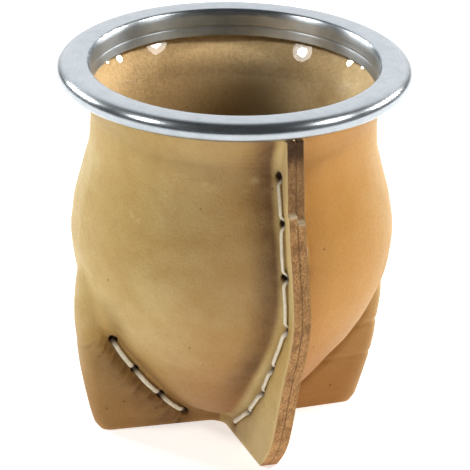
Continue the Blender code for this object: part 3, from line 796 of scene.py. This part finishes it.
class Nodes:
    """A short way to write a material's node tree."""

    def __init__(self, name):
        self.material = bpy.data.materials.new(name)
        self.material.use_nodes = True
        self.tree = self.material.node_tree
        self.shader = self.tree.nodes["Principled BSDF"]

    def add(self, kind, values, **options):
        node = self.tree.nodes.new(kind)
        for key, value in options.items():
            setattr(node, key, value)
        for key, value in values.items():
            self.put(node.inputs[key], value)
        return node

    def put(self, socket, value):
        if isinstance(value, bpy.types.NodeSocket):
            self.tree.links.new(value, socket)
        elif isinstance(value, bpy.types.Node):
            self.tree.links.new(value.outputs[0], socket)
        else:
            socket.default_value = value

    def place(self, scale=(1000.0, 1000.0, 1000.0), spot=(0.0, 0.0, 0.0)):
        """Object coordinates in millimetres, times scale / 1000."""
        where = self.add("ShaderNodeTexCoord", {}).outputs["Object"]
        return self.add("ShaderNodeMapping", {"Vector": where, "Scale": scale, "Location": spot})

    def noise(self, where, scale, detail, roughness, distortion=0.0):
        made = self.add("ShaderNodeTexNoise", {"Vector": where, "Scale": scale, "Detail": detail,
                                               "Roughness": roughness, "Distortion": distortion})
        return made.outputs["Fac"]

    def cells(self, where, scale):
        return self.add("ShaderNodeTexVoronoi", {"Vector": where, "Scale": scale}).outputs["Distance"]

    def math(self, operation, first, second=0.0, clamp=False):
        return self.add("ShaderNodeMath", {0: first, 1: second}, operation=operation, use_clamp=clamp)

    def remap(self, value, low, high, to_low=0.0, to_high=1.0):
        limits = {"Value": value, "From Min": low, "From Max": high, "To Min": to_low, "To Max": to_high}
        return self.add("ShaderNodeMapRange", limits, interpolation_type="SMOOTHSTEP")

    def mix(self, share, first, second):
        made = self.add("ShaderNodeMix", {0: share, 6: first, 7: second}, data_type="RGBA")
        return made.outputs[2]

    def layers(self, base, layers):
        """The base under thin layers of colour, each laid on as far as its share times its strength."""
        for share, strength, shade in layers:
            base = self.mix(self.math("MULTIPLY", share, strength), base, colour(*shade))
        return base

    def attribute(self, name):
        return self.add("ShaderNodeAttribute", {}, attribute_name=name).outputs["Fac"]

    def bump(self, height, distance, strength, **under):
        values = {"Height": height, "Distance": distance * MM, "Strength": strength, **under}
        return self.add("ShaderNodeBump", values)

    def finish(self, **values):
        for key, value in values.items():
            self.put(self.shader.inputs[key.replace("_", " ")], value)
        return self.material


def colour(red, green, blue):
    """Linear colour from the 0 to 255 values of a display."""
    made = []
    for value in (red, green, blue):
        v = value / 255
        made.append(v / 12.92 if v <= 0.04045 else ((v + 0.055) / 1.055) ** 2.4)
    return (*made, 1.0)


def make_grain():
    """Natural leather's grain side: tan, mottled, waxy, with pores, stains, painted shade in its slits,
    valleys and creases, and painted light on the front flange.
    """
    n = Nodes("leather_grain")
    where = n.place()
    cloud = n.noise(where, 0.045, 3.0, 0.55)
    mottle = n.noise(where, 0.22, 5.0, 0.62)
    fine = n.noise(where, 1.6, 4.0, 0.6)
    speck = n.noise(where, 5.5, 2.0, 0.6)
    pore = n.remap(n.cells(where, 0.15), 0.030, 0.060, 1.0, 0.0)
    # stains together with painted shade, broken up by the mottle
    stain_and_shade = n.math("MULTIPLY", n.attribute("stain_and_shade"), n.remap(mottle, 0.25, 0.7, 0.75, 1.1), clamp=True)
    base = n.mix(n.remap(cloud, 0.36, 0.64), colour(208, 184, 124), colour(194, 164, 98))
    base = n.layers(base, [
        (n.remap(mottle, 0.42, 0.72), 0.18, (170, 126, 60)),
        (n.attribute("warm"), 0.88, (208, 145, 64)),
        (n.remap(fine, 0.35, 0.75), 0.14, (150, 104, 52)),
        (n.attribute("shade"), 1.0, (144, 84, 12)),
        (stain_and_shade, 1.0, (84, 50, 22)),
        # painted shade inside the slits
        (n.attribute("slit"), 1.0, (52, 32, 16)),
        # pale cut lines, scratches and fold nose, with painted light on the front flange and painted
        # highlight specks
        (n.attribute("pale"), 0.6, (238, 206, 150)),
        (n.remap(speck, 0.52, 0.78), 0.22, (120, 80, 34)),
        (n.remap(speck, 0.44, 0.24), 0.18, (232, 206, 150)),
        (pore, 0.6, (80, 48, 22)),
    ])
    grain = n.cells(where, 1.5)
    creases = n.noise(n.place((260.0, 260.0, 1500.0)), 0.9, 4.0, 0.6, 0.4)
    low = n.math("ADD", n.math("MULTIPLY", grain, 0.9), n.math("MULTIPLY", fine, 0.9))
    low = n.math("ADD", low, n.math("MULTIPLY", creases, 0.7))
    normal = n.bump(mottle, 0.5, 0.35, Normal=n.bump(low, 0.12, 0.6))
    rough = n.remap(fine, 0.3, 0.7, 0.42, 0.58)
    return n.finish(Base_Color=base, Roughness=rough, Normal=normal, Specular_IOR_Level=0.28)


def make_cut_edge():
    """The leather's cut edge: brown, fibrous, with a paler line at the grain side and painted shade under the
    rim.
    """
    n = Nodes("leather_cut_edge")
    fibres = n.noise(n.place((1000.0, 1000.0, 520.0)), 2.8, 5.0, 0.75)
    lumps = n.noise(n.place(), 0.32, 4.0, 0.6)
    across = n.attribute("across")
    base = n.mix(n.remap(fibres, 0.35, 0.68), colour(170, 118, 70), colour(232, 184, 124))
    base = n.layers(base, [
        (n.remap(lumps, 0.42, 0.72), 0.55, (112, 68, 40)),
        (n.remap(across, 0.0, 0.16, 1.0, 0.0), 0.7, (206, 162, 106)),
        (n.remap(across, 0.88, 1.0), 0.40, (88, 54, 32)),
        # painted shade under the rim, and darker above the step
        (n.attribute("worn"), 1.0, (60, 38, 24)),
        (n.attribute("ledge"), 1.0, (255, 230, 190)),
    ])
    return n.finish(Base_Color=base, Roughness=0.8, Normal=n.bump(fibres, 0.5, 0.9), Specular_IOR_Level=0.25)


def make_flesh():
    """The leather's rough flesh side, seen through the glass, with painted shade low in the middle and
    painted light on its left side.
    """
    n = Nodes("leather_flesh")
    where = n.place()
    cloud = n.noise(where, 0.07, 4.0, 0.6)
    nap = n.noise(where, 1.1, 6.0, 0.75)
    x, y, z = n.add("ShaderNodeSeparateXYZ", {"Vector": where}).outputs
    across = n.math("ADD", n.math("MULTIPLY", x, 0.94), n.math("MULTIPLY", y, -0.34))
    # painted shade low in the middle of the cup
    patch = n.math("MULTIPLY", n.remap(across, -21.0, -7.0), n.remap(across, 23.0, 0.0))
    patch = n.math("MULTIPLY", patch, n.remap(z, 88.0, 75.0))
    base = n.mix(n.remap(cloud, 0.35, 0.65), colour(232, 206, 160), colour(208, 178, 130))
    base = n.layers(base, [
        (patch, 1.0, (38, 23, 12)),
        # painted light on the left side, where the right lamp falls
        (n.remap(across, 14.0, -14.0), 0.8, (255, 216, 158)),
        (n.remap(nap, 0.35, 0.7), 0.3, (140, 106, 68)),
    ])
    return n.finish(Base_Color=base, Roughness=0.85, Normal=n.bump(nap, 0.5, 0.6), Specular_IOR_Level=0.2)


def make_aluminium(name, least_rough, most_rough, anisotropy):
    """Spun aluminium: fine turning marks round the axis spread its highlights across them."""
    n = Nodes(name)
    x, y, z = n.add("ShaderNodeSeparateXYZ", {"Vector": n.place(spot=(0.0, -AXIS_Y, 0.0))}).outputs
    flat = n.add("ShaderNodeCombineXYZ", {"X": x, "Y": y})
    radius = n.add("ShaderNodeVectorMath", {0: flat}, operation="LENGTH").outputs["Value"]
    angle = n.math("ARCTAN2", y, x)
    lathe = n.add("ShaderNodeCombineXYZ", {"X": radius, "Y": z, "Z": n.math("MULTIPLY", angle, 0.8)})
    marks = n.noise(lathe, 7.0, 3.0, 0.7)
    bands = n.noise(lathe, 1.6, 2.0, 0.5)
    wear = n.noise(n.place(), 0.35, 4.0, 0.6)
    base = n.mix(n.remap(wear, 0.3, 0.75), colour(190, 197, 203), colour(178, 186, 193))
    base = n.layers(base, [(n.remap(marks, 0.35, 0.7), 0.25, (150, 157, 164))])
    tangent = n.add("ShaderNodeTangent", {}, direction_type="RADIAL", axis="Z")
    rough = n.remap(bands, 0.3, 0.7, least_rough, most_rough)
    return n.finish(Base_Color=base, Metallic=1.0, Roughness=rough, Normal=n.bump(marks, 0.012, 0.6),
                    Anisotropic=anisotropy, Anisotropic_Rotation=0.25, Tangent=tangent)


def make_glass(name, ior):
    """Clear glass, a little rippled and smudged."""
    n = Nodes(name)
    where = n.place()
    ripple = n.noise(where, 0.09, 2.0, 0.4)
    smudge = n.remap(n.noise(where, 0.3, 4.0, 0.6), 0.4, 0.75, 0.0, 0.06)
    return n.finish(Base_Color=(0.97, 0.985, 0.98, 1.0), Roughness=smudge, Normal=n.bump(ripple, 0.25, 0.5),
                    IOR=ior, Transmission_Weight=1.0)


def make_thread_material():
    """White waxed thread, twisted, slightly soiled, with painted shade where it goes into a slit."""
    n = Nodes("waxed_thread")
    fibre = n.noise(n.place((1000.0, 1000.0, 300.0)), 3.2, 4.0, 0.7)
    soil = n.noise(n.place(), 0.4, 3.0, 0.6)
    base = n.mix(n.remap(fibre, 0.3, 0.7), colour(246, 240, 222), colour(222, 210, 182))
    base = n.layers(base, [
        (n.remap(soil, 0.45, 0.75), 0.3, (190, 164, 124)),
        # painted shade where the thread goes into a slit
        (n.attribute("sunk"), 1.0, (58, 38, 20)),
    ])
    twist = n.math("ADD", n.math("MULTIPLY", n.attribute("across"), 37.7),
                   n.math("MULTIPLY", n.attribute("run"), 1.4))
    normal = n.bump(n.math("ADD", n.math("MULTIPLY", n.math("SINE", twist), 0.35), fibre), 0.05, 0.5)
    return n.finish(Base_Color=base, Roughness=0.42, Normal=normal, Specular_IOR_Level=0.45)


def make_floor():
    """The white sheet that the cup stands on, faintly lit so that it stays white."""
    n = Nodes("pale_floor")
    grain = n.noise(n.place((12.0, 12.0, 12.0)), 4.0, 3.0, 0.5)
    base = n.mix(grain, (0.90, 0.90, 0.90, 1.0), (0.93, 0.93, 0.93, 1.0))
    material = n.finish(Base_Color=base, Roughness=0.9, Specular_IOR_Level=0.1, Emission_Strength=0.62,
                        Emission_Color=(1.0, 1.0, 1.0, 1.0))
    corners = [(x * FLOOR_HALF, y * FLOOR_HALF, 0) for x, y in ((-1, -1), (1, -1), (1, 1), (-1, 1))]
    mesh = bpy.data.meshes.new("floor")
    mesh.from_pydata(corners, [], [(0, 1, 2, 3)])
    mesh.materials.append(material)
    add_object("floor", mesh)


def direction(azimuth_degrees, elevation_degrees):
    a, e = math.radians(azimuth_degrees), math.radians(elevation_degrees)
    return Vector((math.sin(a) * math.cos(e), -math.cos(a) * math.cos(e), math.sin(e)))


def area_light(name, azimuth_degrees, elevation_degrees, distance, size, power, tone):
    """A round lamp that faces the cup."""
    data = bpy.data.lights.new(name, "AREA")
    data.shape, data.size, data.energy, data.color = "DISK", size, power, tone
    way = direction(azimuth_degrees, elevation_degrees)
    lamp = add_object(name, data)
    lamp.location = Vector(LAMP_AIM) + way * distance
    lamp.rotation_mode = "QUATERNION"
    lamp.rotation_quaternion = way.to_track_quat("Z", "Y")


def make_world():
    """A bright round backdrop behind and above the cup, fading into a dark room."""
    world = bpy.data.worlds.new("studio")
    bpy.context.scene.world = world
    world.use_nodes = True
    tree = world.node_tree
    where = tree.nodes.new("ShaderNodeTexCoord")
    facing = tree.nodes.new("ShaderNodeVectorMath")
    facing.operation = "DOT_PRODUCT"
    facing.inputs[1].default_value = direction(CAMERA_AZIMUTH + 180.0, BACKDROP_ELEVATION)
    strength = tree.nodes.new("ShaderNodeMapRange")
    strength.interpolation_type = "SMOOTHSTEP"
    limits = zip(("From Min", "From Max", "To Min", "To Max"), (*BACKDROP_EDGE, WORLD_DARK, WORLD_LIGHT))
    for key, number in limits:
        strength.inputs[key].default_value = number
    back = tree.nodes["Background"]
    back.inputs["Color"].default_value = (1.0, 1.0, 1.0, 1.0)
    tree.links.new(where.outputs["Generated"], facing.inputs[0])
    tree.links.new(facing.outputs["Value"], strength.inputs["Value"])
    tree.links.new(strength.outputs["Result"], back.inputs["Strength"])


def make_camera():
    """The photo's camera: far away, with a long lens and a little roll."""
    data = bpy.data.cameras.new("camera")
    data.sensor_width = 36.0
    data.lens = CAMERA_LENS
    data.clip_start, data.clip_end = 0.05, 50.0
    camera = add_object("camera", data)
    a, roll = math.radians(CAMERA_AZIMUTH), math.radians(CAMERA_ROLL)
    back = direction(CAMERA_AZIMUTH, CAMERA_ELEVATION)
    right = Vector((math.cos(a), math.sin(a), 0.0))
    up = back.cross(right)
    x = right * math.cos(roll) + up * math.sin(roll)
    y = up * math.cos(roll) - right * math.sin(roll)
    turn = Matrix((x, y, back)).transposed().to_4x4()
    spot = Vector((0.0, AXIS_Y, CAMERA_AIM[1])) + right * CAMERA_AIM[0] + back * CAMERA_DISTANCE
    camera.matrix_world = Matrix.Translation(spot * MM) @ turn
    bpy.context.scene.camera = camera


def attach(piece, slot, *nodes):
    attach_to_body(piece, "root")
    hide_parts(*nodes)


make_camera()
make_floor()
make_world()
for name, (turn, elevation, distance, size, power, tone) in LAMPS.items():
    area_light(name, CAMERA_AZIMUTH + turn, elevation, distance, size, power, tone)

sheet = make_leather([make_grain(), make_cut_edge(), make_flesh()])
attach(sheet, "leather", "leather_cover")

# The glass's outer face lies against the leather, where its reflections would show as black spots
glass_section, outside_from = glass_outline()
glass = turned_open("glass_tumbler", glass_section, 192,
                    [make_glass("clear_glass", 1.5), make_glass("glass_against_leather", 1.02)], outside_from)
glass.visible_shadow = False
attach(glass, "glass", "glass_liner")

rim_section = rim_outline()
inside_mouth = {k: 1 for k, (radius, height) in enumerate(rim_section)
                if radius < MOUTH_RADIUS + 0.3 and height < CUP_HEIGHT - 0.1}
rim = turned("rim_turned", rim_section, 288,
             [make_aluminium("spun_aluminium_bead", 0.22, 0.29, 0.5),
              make_aluminium("spun_aluminium_collar", 0.34, 0.42, 0.85)], inside_mouth)
attach(rim, "aluminium", "rim_ring")

thread_finish = make_thread_material()
for seam in SEAMS:
    for side in (1, -1):
        thread = make_thread(seam, side, thread_finish)
        attach(thread, "thread", f"thread_{seam}_{'a' if side > 0 else 'b'}")

bpy.context.scene.view_settings.view_transform = "Standard"
